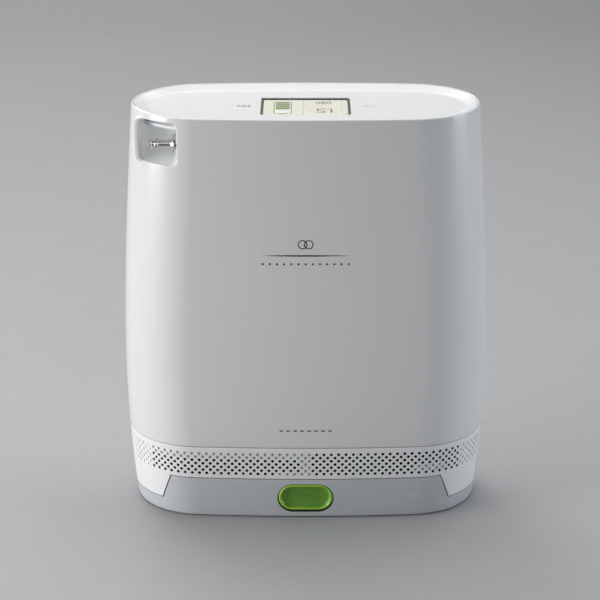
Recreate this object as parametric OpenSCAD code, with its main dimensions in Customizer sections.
// Portable oxygen concentrator: oval casing standing on its clip-in battery.
// Origin at the bottom centre, +Z up, the front faces -Y and +X is to its right.

/* [Casing] */
// Greatest width of the casing, at its belly
case_w = 211; // [209:1:216]
// Greatest depth of the casing
case_d = 91; // [90:1:95]
// Height from the feet to the rim
case_h = 239; // [238:1:244]
// Height at which the casing is widest
belly_z = 94.6; // [90:0.2:100]
// How far each side draws in at the rim
top_in = 7.1; // [6:0.1:7.5]
// How far each side draws in at the foot
foot_in = 4.8; // [4:0.1:5.2]
// Thickness of the casing walls
wall = 2.2; // [1.8:0.1:2.4]
// Height of the joint between the shells and the vent band
seam_z = 44.6; // [44.4:0.1:45.2]

/* [Vent band] */
// Diameter of one vent hole
vent_d = 1.75; // [1.4:0.05:1.9]
// Distance between holes in a row
vent_pitch = 4.25; // [4.1:0.05:4.6]
// Distance between rows of holes
vent_row = 2.05; // [2:0.01:2.1]
// Number of rows of holes
vent_rows = 7; // [3:1:7]
// Height of the lowest row of holes
vent_low_z = 28; // [27.9:0.1:28.3]

/* [Battery and release] */
// Width of the battery bay at its top
bay_top_w = 157.6; // [155:0.2:160]
// Width of the battery bay at its mouth
bay_low_w = 168; // [165:0.5:170]
// Height of the bay's roof line
bay_z = 24.8; // [24.6:0.1:25]
// Height of the battery's foot flange
flange_z = 8.8; // [8:0.1:9.2]
// Width of the release button
button_w = 31.6; // [28:0.2:34]
// Height of the release button
button_h = 16.3; // [14:0.1:16.5]
// How far the release button travels
button_travel = 2.2; // [2:0.1:2.4]
// Number of cells in the battery
cell_count = 8; // [6:1:8]

/* [Outlet port] */
// Width of the outlet pocket
port_w = 23.2; // [21:0.2:24]
// Height of the outlet pocket
port_h = 23.8; // [23.4:0.1:24]
// Largest diameter of the hose barb
barb_d = 6.2; // [5.8:0.1:6.6]
// Diameter of the barb's bore
barb_bore_d = 2.6; // [2:0.1:3]

/* [Control deck] */
// Depth of the dished deck below the rim
dish_depth = 2.5; // [2.2:0.1:2.8]
// Width of the display window
window_w = 50.6; // [46:0.2:54]
// Front to back size of the display window
window_d = 38.3; // [34:0.2:40]
// Diameter of the two keys
key_d = 12; // [10:0.5:13]

/* [Compressor] */
// Throw of the crankshaft's eccentrics
crank_throw = 2; // [1:0.1:2]
// Bore of each compressor cylinder
cylinder_bore = 26; // [25.8:0.1:28]
// Distance from the middle of the motor to each cylinder
cylinder_x = 39; // [38.8:0.1:39.4]

/* [Sieve beds and tank] */
// Outside diameter of a sieve bed
bed_d = 32; // [30:0.5:32]
// Distance from the middle to each sieve bed
bed_x = 78; // [77.8:0.1:79]
// Outside diameter of the oxygen tank
tank_d = 30; // [28:0.5:30]

/* [Hidden] */
$fn = 48;
eps = 0.01;
far = 200;
top_curve = 1.55;
foot_curve = 2.26;
depth_share = 0.4;
end_roundness = 0.95;
split_gap = 0.15;
band_inset = 0.3;
band_wall = 1.8;
rim_wall = 1.55;
deck_wall = 1.6;
deck_z = case_h - dish_depth;
leg_z = flange_z + 0.3;
bay_gap = 0.4;
band_top_z = seam_z - 0.3;
base_z = bay_z + 0.4;
base_top_z = base_z + 1.8;
cradle_z = 43.6;
cradle_top_z = 45.8;
shelf_z = 136;
shelf_top_z = 138.4;
post_x = 52;
post_y = 30;
shaft_z = 75;
window_y = -2.6;
lens_z = deck_z - 1;
lens_t = 0.5;
key_x = 34.9;
key_y = -2.7;
port_x = -94;
port_z = 211.5;
port_back_y = -17.5;
barb_y = -25;
barb_z = 220.4;
button_z = 13;
hook_x = 22;
hook_y = -37;
hook_t = 1.5;
catch_gap = 0.3;
lid_z = bay_z - 2.1;
lid_top_z = bay_z - 0.3;
battery_inset = band_inset + 1.9;
cell_d = 18.4;
cell_l = 65;
cell_pitch = 18.9;
cell_z = 12;
foot_r = 6;
foot_xs = [-68, 68];
foot_ys = [-20, 20];
tub_w = 154;
latch_wall_t = 1.4;
spring_solid = 1.9;
latch_wall_y = hook_y + hook_t + button_travel + spring_solid + latch_wall_t;
button_gap = 0.4;
blade_y = 39.1;
board_t = 1.6;
display_board_z = deck_z - 10;
lcd_z = display_board_z + board_t;
manifold_z = 172;
manifold_top_z = 190;
coil_xs = [-36, -12, 12, 36];
coil_y = -17;
coil_bore_r = 2.6;
gallery_z = 181;
outlet_x = 57.5;
nipple_r = 1.58;
cylinder_z = 100;
cylinder_l = 22;
head_h = 9;
bed_z = 51.8;
bed_top_z = 196;
hose_r = 2.8;
hose_bore_r = 1.6;
tank_y = -20;
tank_z = 155;
inlet_x = 70;
inlet_y = 41.2;
inlet_z = 92;
screw_zs = [66, 196];

// ---- Shape of the casing ----

// Half the casing's width at a height
function half_w(z) = case_w / 2 - (z > belly_z
    ? top_in * pow((z - belly_z) / (case_h - belly_z), top_curve)
    : foot_in * pow((belly_z - z) / belly_z, foot_curve));

// Half the casing's depth at a height
function half_d(z) = case_d / 2 - depth_share * (case_w / 2 - half_w(z));

// One quarter of a four-arc oval: a long flat arc, then a tight end arc
function quarter(a, b, flat_n = 4, end_n = 9) =
    let (r = end_roundness * b, s = a - r,
         big = (s * s + b * b - r * r) / (2 * b - 2 * r), t = atan2(s, big - b))
    concat(
        [for (i = [0:flat_n - 1]) let (u = t * i / flat_n) [big * sin(u), big * cos(u) - big + b]],
        [for (i = [0:end_n]) let (u = t + (90 - t) * i / end_n) [s + r * sin(u), r * cos(u)]]
    );

// The whole oval, clockwise from its back
function oval(a, b) =
    let (q = quarter(a, b), n = len(q) - 1)
    concat(
        [for (i = [0:n]) q[i]], [for (i = [n - 1:-1:0]) [q[i][0], -q[i][1]]],
        [for (i = [1:n]) [-q[i][0], -q[i][1]]], [for (i = [n - 1:-1:1]) [-q[i][0], q[i][1]]]
    );

// Where the casing's surface lies in Y, at a distance x from the middle
function surface_y(x, z, inset = 0) =
    let (a = half_w(z) - inset, b = half_d(z) - inset, r = end_roundness * b, s = a - r,
         big = (s * s + b * b - r * r) / (2 * b - 2 * r), t = atan2(s, big - b))
    abs(x) < big * sin(t)
        ? sqrt(big * big - x * x) - big + b
        : sqrt(max(0, r * r - pow(abs(x) - s, 2)));

// Evenly spaced levels, each [height, inset]
function levels(z0, z1, n, inset) = [for (i = [0:n]) [z0 + (z1 - z0) * i / n, inset]];

// A solid with the casing's oval section at each [height, inset] level
module loft(profile) {
    rings = [for (p = profile)
        [for (q = oval(half_w(p[0]) - p[1], half_d(p[0]) - p[1])) [q[0], q[1], p[0]]]];
    n = len(rings[0]);
    m = len(rings);
    polyhedron(
        points = [for (r = rings) for (p = r) p],
        faces = concat(
            [[for (i = [n - 1:-1:0]) i]], [[for (i = [0:n - 1]) (m - 1) * n + i]],
            [for (k = [0:m - 2]) for (i = [0:n - 1]) let (j = (i + 1) % n)
                [k * n + i, k * n + j, (k + 1) * n + j, (k + 1) * n + i]]
        )
    );
}

// ---- Small building blocks ----

module block(lo, hi) {
    translate(lo) cube(hi - lo);
}

module rod_x(x0, x1, r) {
    translate([x0, 0, 0]) rotate([0, 90, 0]) cylinder(h = x1 - x0, r = r);
}

module rod_y(y0, y1, r) {
    translate([0, y1, 0]) rotate([90, 0, 0]) cylinder(h = y1 - y0, r = r);
}

module tube(h, r, bore) {
    difference() {
        cylinder(h = h, r = r);
        translate([0, 0, -1]) cylinder(h = h + 2, r = bore);
    }
}

// A flat shape drawn in X and Z, given thickness from y0 to y1
module slab_y(y0, y1) {
    translate([0, y1, 0]) rotate([90, 0, 0]) linear_extrude(y1 - y0) children();
}

module rounded_rect(w, h, r) {
    square([w - 2 * r, h], center = true);
    square([w, h - 2 * r], center = true);
    for (x = [-1, 1], y = [-1, 1]) translate([x * (w / 2 - r), y * (h / 2 - r)]) circle(r);
}

module pill(w, h) {
    square([w - h, h], center = true);
    for (x = [-1, 1]) translate([x * (w - h) / 2, 0]) circle(h / 2);
}

// A quarter turn of hose that starts along +X and ends along +Z
module elbow(bend_r) {
    translate([0, 0, bend_r]) rotate([90, 0, 0]) rotate_extrude(angle = -90)
        translate([bend_r, 0]) difference() {
            circle(hose_r);
            circle(hose_bore_r);
        }
}

// The slanted outline of the battery bay, larger all round by grow
module bay_outline(grow, floor_z) {
    slope = (bay_low_w - bay_top_w) / 2 / (bay_z - flange_z);
    low = bay_low_w / 2 + slope * (flange_z - floor_z) + grow;
    high = bay_top_w / 2 + grow;
    polygon([[-low, floor_z], [low, floor_z], [high, bay_z + grow], [-high, bay_z + grow]]);
}

// ---- Casing ----

module casing() {
    crest = 0.9;
    round_z = case_h - 1.1;
    difference() {
        loft(concat(
            [[seam_z, 0.5]], levels(seam_z + 0.6, belly_z, 3, 0),
            [for (p = levels(belly_z, round_z, 7, 0)) if (p[0] > belly_z) p],
            [[case_h - 0.4, crest / 3], [case_h, crest]]
        ));
        loft(concat(
            levels(seam_z - 1, belly_z, 3, wall),
            [for (p = levels(belly_z, case_h - 3.4, 6, wall)) if (p[0] > belly_z) p],
            [[case_h - 2.6, rim_wall], [case_h + 1, rim_wall]]
        ));
    }
}

module port_opening(y0, y1) {
    translate([port_x + port_w / 2, 0, port_z + port_h / 2])
        slab_y(y0, y1) rounded_rect(port_w, port_h, 3);
}

module front_shell() {
    color("white") difference() {
        casing();
        block([-far, -split_gap, 0], [far, far, far * 2]);
        port_opening(-case_d, port_back_y);
    }
}

// A well for one casing screw, trimmed to the casing's outside
module screw_well() {
    rod_y(post_y + 5.2, case_d / 2, 4.9);
}

module rear_shell() {
    screw_r = 1.7;
    head_r = 3.4;
    color("white") difference() {
        union() {
            difference() {
                casing();
                block([-far, -far, 0], [far, split_gap, far * 2]);
            }
            intersection() {
                loft(levels(50, 220, 4, 1));
                for (x = [-post_x, post_x], z = screw_zs) translate([x, 0, z]) screw_well();
            }
        }
        for (x = [-post_x, post_x], z = screw_zs) translate([x, 0, z]) {
            rod_y(post_y + 7, case_d, head_r);
            rod_y(post_y, case_d, screw_r);
        }
        translate([inlet_x, 0, inlet_z]) rod_y(20, case_d, 6.3);
    }
}

// Pan-head screws that draw the rear shell onto the chassis posts
module case_screws() {
    color("silver") for (x = [-post_x, post_x], z = screw_zs) translate([x, 0, z]) difference() {
        union() {
            rod_y(post_y + 7.05, post_y + 9, 2.9);
            rod_y(post_y - 3, post_y + 7.1, 1.25);
        }
        translate([0, post_y + 8.2, 0]) rotate([-90, 0, 0]) cylinder(h = 2, r = 1.2, $fn = 6);
    }
}

// ---- Vent band ----

// Point and outward direction at a distance s round the band, from the middle of the front
function band_point(s, z) =
    let (a = half_w(z), b = half_d(z), r = end_roundness * b, c = a - r,
         big = (c * c + b * b - r * r) / (2 * b - 2 * r), t = atan2(c, big - b),
         flat = big * t * PI / 180, turn = r * (180 - 2 * t) * PI / 180)
    s < flat
        ? let (u = s / big * 180 / PI) [big * sin(u), -(big * cos(u) - big + b), u]
        : s < flat + turn
            ? let (u = t + (s - flat) / r * 180 / PI) [c + r * sin(u), -r * cos(u), u]
            : let (u = (2 * flat + turn - s) / big * 180 / PI)
                [big * sin(u), big * cos(u) - big + b, 180 - u];

function band_half_length(z) =
    let (a = half_w(z), b = half_d(z), r = end_roundness * b, c = a - r,
         big = (c * c + b * b - r * r) / (2 * b - 2 * r), t = atan2(c, big - b))
    (2 * big * t + r * (180 - 2 * t)) * PI / 180;

module vent_holes() {
    reach = 4;
    for (j = [0:vent_rows - 1]) {
        z = vent_low_z + vent_row * j;
        length = band_half_length(z);
        shift = (j % 2 == 0) ? 0.5 : 0;
        count = floor((length - vent_pitch / 4) / vent_pitch - shift);
        for (i = [0:count], side = [-1, 1]) if (side > 0 || i + shift > 0) {
            p = band_point((i + shift) * vent_pitch, z);
            translate([side * p[0], p[1], z]) rotate([90, 0, side * p[2]])
                translate([0, 0, -reach]) cylinder(h = 2 * reach, d = vent_d, $fn = 6);
        }
    }
}

// White perforated band with a leg at each corner of the battery bay
module vent_band() {
    color("whitesmoke") difference() {
        loft([[leg_z, band_inset], [bay_z, band_inset], [band_top_z - 0.4, band_inset],
              [band_top_z, band_inset + 0.4]]);
        loft([[leg_z - 1, band_inset + band_wall], [bay_z, band_inset + band_wall],
              [band_top_z + 1, band_inset + band_wall]]);
        slab_y(-case_d, case_d) bay_outline(bay_gap / 4, 0);
        vent_holes();
    }
}

// Ribbed ring behind the band: its windows line up with the open part of the grille
module vent_liner() {
    outer = 3.3;
    inner = 4.3;
    low = base_top_z;
    high = band_top_z - 0.4;
    window_x = 88.5;
    color("lightgray") difference() {
        loft([[low, outer], [high, outer]]);
        loft([[low - 1, inner], [high + 1, inner]]);
        for (side = [-1, 1]) {
            front = side < 0;
            y0 = front ? -case_d : 0;
            slab_y(y0, y0 + case_d) difference() {
                translate([-window_x, low - 1]) square([2 * window_x, high - low - 0.6]);
                liner_ribs(front, low, high, window_x);
            }
        }
    }
}

module liner_ribs(front, low, high, window_x) {
    centre_w = 6.6;
    bar_z = vent_low_z + vent_row * 4.6;
    bracket_x0 = 62.8;
    bracket_x1 = 80.6;
    bracket_z = vent_low_z + vent_row * 0.9;
    leg_w = 2.6;
    translate([-centre_w / 2, low]) square([centre_w, high - low]);
    translate([-window_x, bar_z]) square([window_x + centre_w / 2, vent_row * 2]);
    translate([-window_x, low]) square([2 * window_x, 0.5]);
    if (front) {
        translate([-15.5, low]) square([15.5, 2]);
        translate([bracket_x0, bracket_z]) square([bracket_x1 - bracket_x0, vent_row * 2]);
        for (x = [bracket_x0 + 1.4, bracket_x1 - leg_w]) translate([x, low]) square([leg_w, 4]);
    }
}

// Two strips of open-cell foam behind the grille
module intake_filter() {
    strip_w = 94;
    color("dimgray") for (side = [-1, 1])
        translate([-strip_w / 2, side < 0 ? -31.5 : 27, base_top_z + 0.3])
            cube([strip_w, 4.5, 15.6]);
}

// ---- Outlet port ----

// Moulded cup that closes the pocket round the hose barb
module port_cup() {
    t = 1.5;
    right_x = port_x + port_w;
    ceiling_z = port_z + port_h - 4;
    color("gainsboro") difference() {
        intersection() {
            loft(levels(port_z - t, case_h - 4, 4, wall + 0.1));
            union() {
                difference() {
                    block([port_x - 9, -case_d / 2, port_z - t + 0.5],
                        [right_x + t, port_back_y + t, deck_z - 2]);
                    block([-far, -case_d, port_z + 0.7], [right_x, port_back_y, deck_z]);
                }
                intersection() {
                    loft(levels(ceiling_z - 1, ceiling_z + 3, 1, wall + 3.2));
                    block([port_x - 9, -case_d / 2, ceiling_z],
                        [right_x + 0.5, port_back_y + 0.5, ceiling_z + t]);
                }
            }
        }
        translate([0, barb_y, barb_z]) rod_x(right_x - 1, right_x + t + 1, 3.05);
    }
}

// Turned metal hose barb with a flange, pushed in from the pocket side
module outlet_barb() {
    right_x = port_x + port_w;
    tip_x = -87.5;
    ring_r = barb_d / 2;
    land_r = ring_r - 0.5;
    tail_r = 2;
    color("silver") translate([0, barb_y, barb_z]) difference() {
        union() {
            rod_x(tip_x, right_x - 1, land_r);
            rod_x(tip_x + 0.3, tip_x + 1.4, ring_r);
            rod_x(tip_x + 4, tip_x + 5.4, ring_r);
            translate([right_x - 3.4, 0, 0]) rotate([0, 90, 0])
                cylinder(h = 1.6, r1 = land_r, r2 = ring_r + 1);
            rod_x(right_x - 1.9, right_x - 0.4, 6.1);
            rod_x(right_x - 0.5, right_x + 5.5, 3);
            rod_x(right_x, right_x + 8.8, tail_r);
        }
        rod_x(tip_x - 1, right_x + 10, barb_bore_d / 2);
    }
}

// Flat rubber seal between the barb's flange and the cup
module outlet_seal() {
    color("black") translate([port_x + port_w - 0.4, barb_y, barb_z]) rotate([0, 90, 0])
        tube(0.4, 5.6, 3.02);
}

// Hexagon nut that clamps the barb from inside
module outlet_nut() {
    color("gold") translate([port_x + port_w + 1.5, barb_y, barb_z]) rotate([0, 90, 0]) difference() {
        cylinder(h = 2.6, r = 5.6, $fn = 6);
        translate([0, 0, -1]) cylinder(h = 5, r = 3.02);
    }
}

// Short elbow from the barb's tail to the dose valve
module outlet_hose() {
    start_x = port_x + port_w + 5.6;
    tail_r = 2;
    bend = 4;
    color("ghostwhite") translate([start_x, barb_y, barb_z]) {
        difference() {
            rod_x(0, 3.4, hose_r);
            rod_x(-1, 4, tail_r + 0.02);
        }
        translate([3.4, 0, 0]) rotate([-90, 0, 0]) elbow(bend);
        translate([3.4 + bend, bend, 0]) difference() {
            rod_y(0, 5.4, hose_r);
            rod_y(-1, 6, hose_bore_r);
        }
    }
}

// Solenoid valve that meters each pulse of oxygen
module dose_valve() {
    x = port_x + port_w + 13;
    z0 = barb_z - 6.4;
    z1 = display_board_z - 1.4;
    color("slategray") difference() {
        union() {
            block([x - 5, -13, z0], [x + 13, 7, z1]);
            translate([x, 0, barb_z]) rod_y(-15.5, -12, nipple_r);
        }
        translate([x, 0, barb_z]) rod_y(-16, -2, 0.8);
    }
}

module delivery_hose() {
    color("ghostwhite") translate([-47, 0, manifold_top_z])
        tube(barb_z - 6.4 - manifold_top_z, hose_r, hose_bore_r);
}

// ---- Control deck ----

// Dished top panel with the display window and two key openings
module top_deck() {
    edge = rim_wall + 0.12;
    color("white") difference() {
        loft([[deck_z - deck_wall, 10.8], [case_h - 3.5, wall + 0.15], [case_h - 2.5, edge],
              [case_h - 0.35, edge]]);
        loft([[deck_z, 10], [deck_z + 0.3, 8.6], [case_h - 0.95, 3.2], [case_h - 0.35, 2.1],
              [case_h + 1, 1.9]]);
        translate([0, window_y, deck_z - 5]) linear_extrude(10) rounded_rect(window_w, window_d, 1.5);
        for (x = [-key_x, key_x]) translate([x, key_y, deck_z - 5])
            cylinder(h = 10, r = key_d / 2 + 0.12);
    }
}

// Dark gasket that lines the window and holds the lens
module window_frame() {
    rim = 1.1;
    color("dimgray") translate([0, window_y, 0]) difference() {
        union() {
            translate([0, 0, deck_z - deck_wall - 1.4]) linear_extrude(deck_wall + 1)
                rounded_rect(window_w - 0.1, window_d - 0.1, 1.45);
            translate([0, 0, deck_z - deck_wall - 1.4]) linear_extrude(1.35)
                rounded_rect(window_w + 4, window_d + 4, 2);
        }
        translate([0, 0, deck_z - 5]) linear_extrude(10)
            rounded_rect(window_w - 2 * rim, window_d - 2 * rim, 0.8);
    }
}

module window_lens() {
    color("azure") translate([0, window_y, lens_z]) linear_extrude(lens_t)
        rounded_rect(window_w - 2.3, window_d - 2.3, 0.7);
}

// Display module with its light guide
module lcd_panel() {
    color("ivory") translate([0, window_y, lcd_z]) linear_extrude(lens_z - 0.1 - lcd_z)
        rounded_rect(window_w - 3, window_d - 3, 0.6);
}

// Circuit board under the deck, with a tactile switch below each key and a sounder
module display_board() {
    color("darkgreen") {
        difference() {
            block([-45.5, -27, display_board_z], [45.5, 26, display_board_z + board_t]);
            for (x = [-42, 42], y = [-23, 22]) translate([x, y, display_board_z - 1])
                cylinder(h = 4, r = 1.4);
        }
        for (x = [-key_x, key_x]) translate([x - 3, key_y - 3, display_board_z + board_t - eps])
            cube([6, 6, 1.9]);
        translate([30, 14, display_board_z - 5]) cylinder(h = 5.1, r = 6);
    }
}

// Push key with a stem, held by its flange under the deck
module key() {
    r = key_d / 2;
    color("white") translate([0, key_y, 0]) {
        translate([0, 0, deck_z - 3]) cylinder(h = 3, r = r);
        translate([0, 0, deck_z - deck_wall - 1.25]) cylinder(h = 1.2, r = r + 0.9);
        translate([0, 0, deck_z - 5.9]) cylinder(h = 3, r = 2.2);
    }
}

module power_key() {
    translate([key_x, 0, 0]) key();
}

module alarm_key() {
    translate([-key_x, 0, 0]) key();
}

// ---- Chassis ----

module chassis() {
    fan_r = 24;
    color("gray") difference() {
        union() {
            loft([[base_z, 2.7], [base_top_z, 2.7]]);
            block([-56, -36, cradle_z], [56, 36, cradle_top_z]);
            block([-56, -36, shelf_z], [56, 36, shelf_top_z]);
            for (x = [-post_x, post_x], y = [-post_y, post_y]) translate([x, y, base_z])
                cylinder(h = display_board_z - 4 - base_z, r = 4);
            for (side = [-1, 1]) translate([side * bed_x, 0, base_z])
                cylinder(h = bed_z - 5.6 - base_z, r = 7);
        }
        translate([0, 0, cradle_z - 1]) cylinder(h = 4, r = fan_r);
        translate([0, 0, base_z - 1]) {
            for (side = [-1, 1]) translate([side * hook_x - 4.5, hook_y - 2.6, 0]) cube([9, 8.4, 5]);
            translate([-12.5, blade_y - 0.8, 0]) cube([25, 2.4, 5]);
        }
        for (side = [-1, 1]) {
            translate([side * cylinder_x, 0, shelf_z - 1]) cylinder(h = 5, r = 3.6);
            translate([side * outlet_x, tank_y, shelf_z - 1]) cylinder(h = 5, r = 3.6);
        }
        block([-47, post_y + 0.6, shelf_z - 1], [47, post_y + 3.6, shelf_top_z + 1]);
        for (x = [-post_x, post_x], z = screw_zs) translate([x, 0, z])
            rod_y(post_y - 3.5, post_y + 5, 1.27);
    }
}

// Steel plates on the chassis that the battery's hooks hold on to
module latch_catch() {
    edge_y = hook_y - catch_gap;
    color("silver") for (side = [-1, 1])
        translate([side * hook_x - 5.6, edge_y - 2.3, base_top_z]) cube([11.2, 2.3, 1.2]);
}

// Blades that reach down into the battery's connector
module bay_connector() {
    color("goldenrod") {
        block([-14, blade_y - 1.7, base_top_z], [14, blade_y + 0.9, base_top_z + 4.4]);
        for (i = [-2:2]) translate([i * 5 - 1.4, blade_y, lid_top_z - 6]) cube([2.8, 0.8, 10]);
    }
}

// ---- Fan ----

module fan_frame() {
    low = cradle_z - 10;
    bore = 23.8;
    color("black") {
        difference() {
            block([-25, -25, low], [25, 25, cradle_z]);
            translate([0, 0, low - 1]) cylinder(h = 12, r = bore);
        }
        difference() {
            union() {
                translate([0, 0, cradle_z - 1.5]) cylinder(h = 1.5, r = 9.5);
                for (i = [0:2]) rotate([0, 0, 120 * i]) translate([0, -1.2, cradle_z - 1.5])
                    cube([bore + 0.5, 2.4, 1.5]);
            }
            translate([0, 0, cradle_z - 3]) cylinder(h = 4, r = 1.56);
        }
    }
}

module fan_rotor() {
    blades = 7;
    hub_r = 9;
    tip_r = 23.2;
    low = cradle_z - 9.4;
    color("dimgray") {
        translate([0, 0, low]) cylinder(h = 7.6, r = hub_r);
        translate([0, 0, low + 7]) cylinder(h = 2.2, r = 1.5);
        intersection() {
            translate([0, 0, low]) tube(7.6, tip_r, hub_r - 1);
            for (i = [0:blades - 1]) rotate([0, 0, i * 360 / blades])
                translate([hub_r - 2, -5.5, low + 0.4]) rotate([34, 0, 0]) cube([20, 12, 1.1]);
        }
    }
}

// ---- Compressor ----

module isolators() {
    color("black") for (x = [-46, 46], y = [-11, 11]) translate([x, y, cradle_top_z]) {
        cylinder(h = 2, r = 5);
        cylinder(h = 6.2, r = 3.6);
        translate([0, 0, 4.2]) cylinder(h = 2, r = 5);
    }
}

// Motor housing with a crank chamber at each end
module crankcase() {
    low = 52;
    color("silver") difference() {
        union() {
            block([-30, -25, low], [30, 25, 98]);
            for (side = [-1, 1]) translate([side * 43 - 13, -17, low]) cube([26, 34, 48]);
        }
        translate([0, 0, shaft_z]) {
            rod_x(-24, 24, 21);
            rod_x(-33, 33, 10);
        }
        for (side = [-1, 1]) translate([side * 43 - 10.5, -14.5, low + 3]) cube([21, 29, 50]);
        for (x = [-18:9:18], side = [-1, 1]) translate([x - 2, side * 25 - 1.5, 60]) cube([4, 3, 30]);
    }
}

module motor_stator() {
    teeth = 12;
    color("chocolate") translate([0, 0, shaft_z]) rotate([0, 90, 0]) difference() {
        translate([0, 0, -16]) cylinder(h = 32, r = 20.95);
        translate([0, 0, -17]) cylinder(h = 34, r = 12.6);
        for (i = [0:teeth - 1]) rotate([0, 0, i * 360 / teeth]) translate([12, -1, -17])
            cube([6, 2, 34]);
    }
}

module motor_rotor() {
    color("dimgray") translate([0, 0, shaft_z]) difference() {
        rod_x(-15, 15, 12);
        rod_x(-16, 16, 4);
    }
}

// Shaft with one eccentric pin at each end, half a turn apart
module crankshaft() {
    pin_in = cylinder_x - 4.5;
    pin_out = cylinder_x + 4.5;
    color("silver") translate([0, 0, shaft_z]) {
        rod_x(-pin_in, pin_in, 4);
        for (side = [-1, 1]) translate([side < 0 ? -pin_out : pin_in - 0.5, 0, -side * crank_throw])
            rod_x(0, pin_out - pin_in + 0.5, 3.5);
    }
}

module crank_bearings() {
    color("lightsteelblue") for (side = [-1, 1]) translate([side * 28, 0, shaft_z])
        rotate([0, 90, 0]) difference() {
            cylinder(h = 5, r = 9.98, center = true);
            cylinder(h = 6, r = 4.05, center = true);
            for (end = [-1, 1]) translate([0, 0, end * 2.5]) difference() {
                cylinder(h = 0.8, r = 8.4, center = true);
                cylinder(h = 2, r = 5.6, center = true);
            }
        }
}

// Wobble piston: ring on the crank pin, rod and cup head in one piece
module piston(side) {
    pin_z = shaft_z - side * crank_throw;
    head_r = cylinder_bore / 2 - crank_throw - 0.2;
    color("gainsboro") translate([side * cylinder_x, 0, pin_z]) difference() {
        union() {
            rod_x(-3.5, 3.5, 7);
            block([-2.5, -4, 5], [2.5, 4, 36]);
            translate([0, 0, 35]) cylinder(h = 6, r = head_r);
        }
        rod_x(-5, 5, 3.55);
    }
}

module left_piston() {
    piston(-1);
}

module right_piston() {
    piston(1);
}

module finned_cylinder(side) {
    fins = 4;
    color("lightgray") translate([side * cylinder_x, 0, cylinder_z]) difference() {
        union() {
            cylinder(h = cylinder_l, r = cylinder_bore / 2 + 2);
            for (i = [0:fins - 1]) translate([0, 0, 3 + i * 5])
                cylinder(h = 1.6, r = cylinder_bore / 2 + 5.5);
            translate([side > 0 ? -10.5 : -13.5, -16, 0]) cube([24, 32, 2]);
        }
        translate([0, 0, -1]) cylinder(h = cylinder_l + 2, r = cylinder_bore / 2);
    }
}

module left_cylinder() {
    finned_cylinder(-1);
}

module right_cylinder() {
    finned_cylinder(1);
}

// Cylinder head with its outlet spigot
module head(side) {
    bolt_ring = cylinder_bore / 2 + 1.4;
    color("silver") translate([side * cylinder_x, 0, cylinder_z + cylinder_l]) difference() {
        union() {
            cylinder(h = head_h, r = cylinder_bore / 2 + 4);
            translate([0, 0, head_h - eps]) cylinder(h = 8, r = nipple_r);
            for (i = [0:3]) rotate([0, 0, 45 + 90 * i]) translate([bolt_ring, 0, head_h - eps])
                cylinder(h = 1.6, r = 2, $fn = 6);
        }
        translate([0, 0, 4]) cylinder(h = 14, r = 0.9);
    }
}

module left_head() {
    head(-1);
}

module right_head() {
    head(1);
}

module feed_hoses() {
    low_z = cylinder_z + cylinder_l + head_h + 1.8;
    color("ghostwhite") for (side = [-1, 1]) translate([side * cylinder_x, 0, low_z])
        tube(manifold_z - low_z, hose_r, hose_bore_r);
}

// ---- Sieve beds, tank and valves ----

// Canister with its cap and the foot that carries the product outlet
module sieve_bed(side) {
    r = bed_d / 2;
    foot_z = bed_z - 5.6;
    reach = outlet_x - bed_x;
    color("lightsteelblue") translate([side * bed_x, 0, 0]) mirror([side < 0 ? 1 : 0, 0, 0]) {
        translate([0, 0, bed_z - 1]) cylinder(h = bed_top_z - bed_z, r = r);
        translate([0, 0, bed_top_z - 2]) cylinder(h = 12, r = r + 1);
        translate([0, 0, foot_z]) cylinder(h = 5.6, r = r + 1);
        translate([reach / 2, tank_y / 2, foot_z + 0.6]) rotate([0, 0, atan2(tank_y, reach)])
            translate([-6, -4, 0]) cube([norm([reach, tank_y]) / 2 + 6, 8, 4.4]);
        translate([reach, tank_y, foot_z]) {
            cylinder(h = 5.6, r = 5);
            translate([0, 0, 2]) cylinder(h = 8, r = nipple_r);
        }
        translate([0, 0, bed_top_z + 5]) rod_x(-r - 4.4, -r + 1, nipple_r);
    }
}

module left_sieve_bed() {
    sieve_bed(-1);
}

module right_sieve_bed() {
    sieve_bed(1);
}

// From each end of the manifold up to the cap of its sieve bed
module bed_hoses() {
    bend = 3.4;
    start_x = 47.6;
    straight = 3;
    low_z = gallery_z;
    high_z = bed_top_z + 5;
    up_x = start_x + straight + bend;
    color("ghostwhite") for (side = [0, 1]) mirror([side, 0, 0]) {
        translate([0, 0, low_z]) difference() {
            rod_x(start_x, start_x + straight, hose_r);
            rod_x(start_x - 1, start_x + straight + 1, hose_bore_r);
        }
        translate([start_x + straight, 0, low_z]) elbow(bend);
        translate([up_x, 0, low_z + bend])
            tube(high_z - low_z - 2 * bend, hose_r, hose_bore_r);
        translate([up_x + bend, 0, high_z]) rotate([0, 180, 0]) elbow(bend);
        translate([up_x + bend, 0, high_z]) difference() {
            rod_x(0, bed_x - bed_d / 2 - 1.1 - up_x - bend, hose_r);
            rod_x(-1, 9, hose_bore_r);
        }
    }
}

// From each bed's foot up to the end of the tank
module product_hoses() {
    bend = 3.6;
    x = outlet_x;
    low_z = bed_z + 0.1;
    color("ghostwhite") for (side = [0, 1]) mirror([side, 0, 0]) translate([0, tank_y, 0]) {
        translate([x, 0, low_z]) tube(tank_z - bend - low_z, hose_r, hose_bore_r);
        translate([x - bend, 0, tank_z]) mirror([0, 0, 1]) elbow(bend);
        translate([0, 0, tank_z]) difference() {
            rod_x(47.5, x - bend, hose_r);
            rod_x(47, x - bend + 1, hose_bore_r);
        }
    }
}

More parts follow.
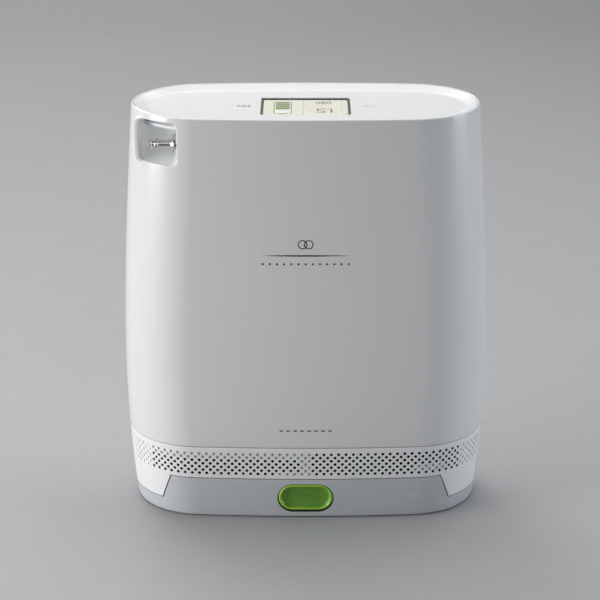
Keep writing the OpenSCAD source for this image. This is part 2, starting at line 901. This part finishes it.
// Moulded accumulator that holds the concentrated oxygen
module oxygen_tank() {
    r = tank_d / 2;
    end_x = 47.4;
    color("whitesmoke") translate([0, tank_y, tank_z]) {
        rod_x(-end_x, end_x, r - 1);
        for (x = [-end_x, -20, 17, end_x - 3]) rod_x(x, x + 3, r);
        rod_x(-end_x - 3, end_x + 3, nipple_r);
        block([-40, -8, shelf_top_z - tank_z], [-30, 8, 0]);
        block([30, -8, shelf_top_z - tank_z], [40, 8, 0]);
        for (x = [-34, 34]) block([x - 5, -4, 10], [x + 5, 4, manifold_z - tank_z]);
    }
}

module valve_manifold() {
    color("tan") difference() {
        union() {
            block([-47.5, -33, manifold_z], [47.5, 5, manifold_top_z]);
            translate([0, 0, gallery_z]) rod_x(-50.6, 50.6, nipple_r);
        }
        for (x = coil_xs) translate([x, coil_y, manifold_top_z - 5])
            cylinder(h = 6, r = coil_bore_r);
        translate([-47, 0, manifold_top_z - 6]) cylinder(h = 7, r = hose_bore_r);
        for (side = [-1, 1]) translate([side * cylinder_x, 0, manifold_z - 1])
            cylinder(h = 7, r = hose_bore_r);
        translate([0, 0, gallery_z]) rod_y(2, 6, 3);
    }
}

module valve_coils() {
    color("darkslateblue") for (x = coil_xs) translate([x, coil_y, manifold_top_z]) difference() {
        union() {
            cylinder(h = 3, r = 9);
            cylinder(h = 20, r = 8);
            translate([-4, 6, 3]) cube([8, 5, 6]);
        }
        translate([0, 0, -1]) cylinder(h = 16, r = coil_bore_r);
    }
}

// Plungers that work together: one bed's feed valve and the other bed's exhaust valve
module plungers(first) {
    color("silver") for (i = [first, first + 2])
        translate([coil_xs[i], coil_y, manifold_top_z - 4.9]) cylinder(h = 16, r = coil_bore_r - 0.06);
}

module phase_a_plungers() {
    plungers(0);
}

module phase_b_plungers() {
    plungers(1);
}

module exhaust_muffler() {
    color("dimgray") translate([0, 0, gallery_z]) {
        rod_y(2.1, 6, 2.98);
        rod_y(5.1, 20, 8);
    }
}

module oxygen_sensor() {
    color("teal") {
        block([14, 6, shelf_top_z], [34, 20, shelf_top_z + 18]);
        block([18, 8, shelf_top_z + 17], [22, 12, shelf_top_z + 22]);
    }
}

// ---- Electronics ----

module main_board() {
    y = post_y + 1.2;
    color("darkgreen") {
        block([-46, y, 104], [46, y + board_t, 210]);
        block([-30, y + 1.5, 118], [-14, y + 3.4, 134]);
        block([6, y + 1.5, 112], [30, y + 3, 124]);
        for (x = [-36:14:34]) block([x, y + 1.5, 150], [x + 8, y + 4.4, 158]);
        for (x = [-24, 0, 24]) translate([x, 0, 190]) rod_y(y + 1.5, y + 7, 5);
    }
}

module heat_sink() {
    fins = 7;
    y1 = post_y + 1.2;
    color("silver") {
        block([-26, y1 - 2, 146], [8, y1, 178]);
        for (i = [0:fins - 1]) translate([-26 + i * 5.4, y1 - 7, 146]) cube([1.4, 6, 32]);
    }
}

// Round power socket in the back of the casing
module dc_inlet() {
    face_y = inlet_y;
    color("black") translate([inlet_x, 0, inlet_z]) difference() {
        union() {
            rod_y(face_y - 14, face_y, 6);
            rod_y(face_y - 14, face_y - 4.5, 7.4);
            translate([-5, face_y - 20, -5]) cube([10, 7, 10]);
        }
        rod_y(face_y - 10, face_y + 1, 2.9);
    }
}

// ---- Battery ----

// Grey tub with the foot flange; its front carries the release button
module battery_case() {
    floor_z = 2.5;
    color("darkgray") difference() {
        intersection() {
            loft([[0.6, 1.1], [0.75, 0.7], [1.1, 0.4], [1.6, band_inset], [flange_z, band_inset],
                  [lid_top_z - 0.4, band_inset], [lid_top_z, band_inset + 0.4]]);
            union() {
                block([-far, -far, 0], [far, far, flange_z]);
                slab_y(-case_d, case_d) bay_outline(-bay_gap, flange_z - 1);
            }
        }
        difference() {
            intersection() {
                loft([[floor_z, battery_inset], [lid_top_z + 1, battery_inset]]);
                block([-tub_w / 2, -far, floor_z], [tub_w / 2, far, lid_top_z + 1]);
            }
            block([-far, latch_wall_y - latch_wall_t, 0], [far, latch_wall_y, lid_z]);
            for (side = [-1, 1])
                block([side * 50 - 1, -far, 0], [side * 50 + 1, latch_wall_y, lid_z]);
        }
        translate([0, 0, button_z]) slab_y(-case_d, -35)
            pill(button_w + 2 * button_gap, button_h + 2 * button_gap);
        for (side = [-1, 1]) intersection() {
            loft([[-1, 4.5], [6.6, 4.5]]);
            translate([side * 91 - 7, -far, -1]) cube([14, 2 * far, 7.6]);
        }
        for (x = foot_xs, y = foot_ys) translate([x, y, -1]) cylinder(h = 2.6, r = foot_r);
    }
}

// Lid let into the tub, slotted for the hooks and the connector blades
module battery_lid() {
    color("darkgray") difference() {
        intersection() {
            loft([[lid_z, battery_inset + 0.05], [lid_top_z, battery_inset + 0.05]]);
            block([0.05 - tub_w / 2, -far, lid_z], [tub_w / 2 - 0.05, far, lid_top_z]);
        }
        for (side = [-1, 1]) translate([side * hook_x - 4, hook_y - 2.4, lid_z - 1]) cube([8, 7.6, 4]);
        for (i = [-2:2]) translate([i * 5 - 1.9, blade_y - 0.5, lid_z - 1]) cube([3.8, 1.8, 4]);
    }
}

module battery_cells() {
    span = (cell_count - 1) * cell_pitch;
    color("seagreen") for (i = [0:cell_count - 1])
        translate([i * cell_pitch - span / 2, latch_wall_y + 0.4, cell_z]) {
            rod_y(0, cell_l - 1, cell_d / 2);
            rod_y(cell_l - 1.1, cell_l, 3);
        }
}

// Protection board with the connector that the bay's blades enter
module battery_board() {
    color("darkgreen") difference() {
        union() {
            block([-60, 35.8, 4], [60, 35.8 + board_t, 20]);
            block([-14, 37.3, 10], [14, 41.4, lid_z - 0.1]);
        }
        for (i = [-2:2]) translate([i * 5 - 1.9, blade_y - 0.5, 12]) cube([3.8, 1.8, 12]);
    }
}

module battery_feet() {
    color("dimgray") for (x = foot_xs, y = foot_ys) translate([x, y, 0]) cylinder(h = 1.6, r = foot_r);
}

// ---- Battery release ----

module release_button() {
    face_y = surface_y(0, button_z, band_inset) + 0.35;
    back_y = 39;
    dish_w = button_w - 4.6;
    dish_h = button_h - 4.6;
    color("yellowgreen") translate([0, 0, button_z]) difference() {
        slab_y(-face_y, -back_y) pill(button_w, button_h);
        slab_y(-face_y - 1, -face_y + 1) pill(dish_w, dish_h);
        for (side = [-1, 1]) translate([side * 3.2, -face_y + 1, 0.6]) rotate([0, -side * 42, 0])
            cube([8.4, 0.8, 0.5], center = true);
    }
}

// Yoke behind the button with two hooks that rise into the chassis
module latch_hooks() {
    hook_z = base_top_z + 2.2;
    hook_reach = button_travel - 0.4;
    color("silver") {
        block([-hook_x - 3, hook_y, 6], [hook_x + 3, hook_y + hook_t, 18.5]);
        block([-10, -39, 8], [10, hook_y, 18]);
        for (side = [-1, 1]) translate([side * hook_x - 3, hook_y, 6]) {
            cube([6, hook_t, hook_z + 1.8 - 6]);
            translate([0, -hook_reach, hook_z - 6]) cube([6, hook_reach + 0.1, 1.8]);
        }
    }
}

// Helical compression spring with its axis along Y
module coil_spring(length, r, wire, turns) {
    sides = 6;
    per_turn = 10;
    n = turns * per_turn;
    points = [for (i = [0:n]) for (k = [0:sides - 1])
        let (u = 360 * i / per_turn, v = 360 * k / sides, q = r + wire * cos(v))
        [q * cos(u), wire + (length - 2 * wire) * i / n + wire * sin(v), q * sin(u)]];
    polyhedron(points = points, faces = concat(
        [[for (k = [0:sides - 1]) k]], [[for (k = [sides - 1:-1:0]) n * sides + k]],
        [for (i = [0:n - 1]) for (k = [0:sides - 1]) let (m = (k + 1) % sides)
            [i * sides + k, (i + 1) * sides + k, (i + 1) * sides + m, i * sides + m]]
    ));
}

module release_springs() {
    start_y = hook_y + hook_t;
    color("silver") for (x = [-13, 13]) translate([x, start_y, 12])
        coil_spring(latch_wall_y - latch_wall_t - start_y, 2.2, 0.3, 2.4);
}

front_shell();
rear_shell();
top_deck();
window_frame();
window_lens();
lcd_panel();
display_board();
power_key();
alarm_key();
vent_band();
vent_liner();
intake_filter();
port_cup();
outlet_barb();
outlet_seal();
outlet_nut();
outlet_hose();
dose_valve();
delivery_hose();
chassis();
latch_catch();
bay_connector();
fan_frame();
fan_rotor();
isolators();
crankcase();
motor_stator();
motor_rotor();
crankshaft();
crank_bearings();
left_piston();
right_piston();
left_cylinder();
right_cylinder();
left_head();
right_head();
feed_hoses();
left_sieve_bed();
right_sieve_bed();
bed_hoses();
product_hoses();
oxygen_tank();
valve_manifold();
valve_coils();
phase_a_plungers();
phase_b_plungers();
exhaust_muffler();
oxygen_sensor();
main_board();
heat_sink();
dc_inlet();
case_screws();
battery_case();
battery_lid();
battery_cells();
battery_board();
battery_feet();
release_button();
latch_hooks();
release_springs();
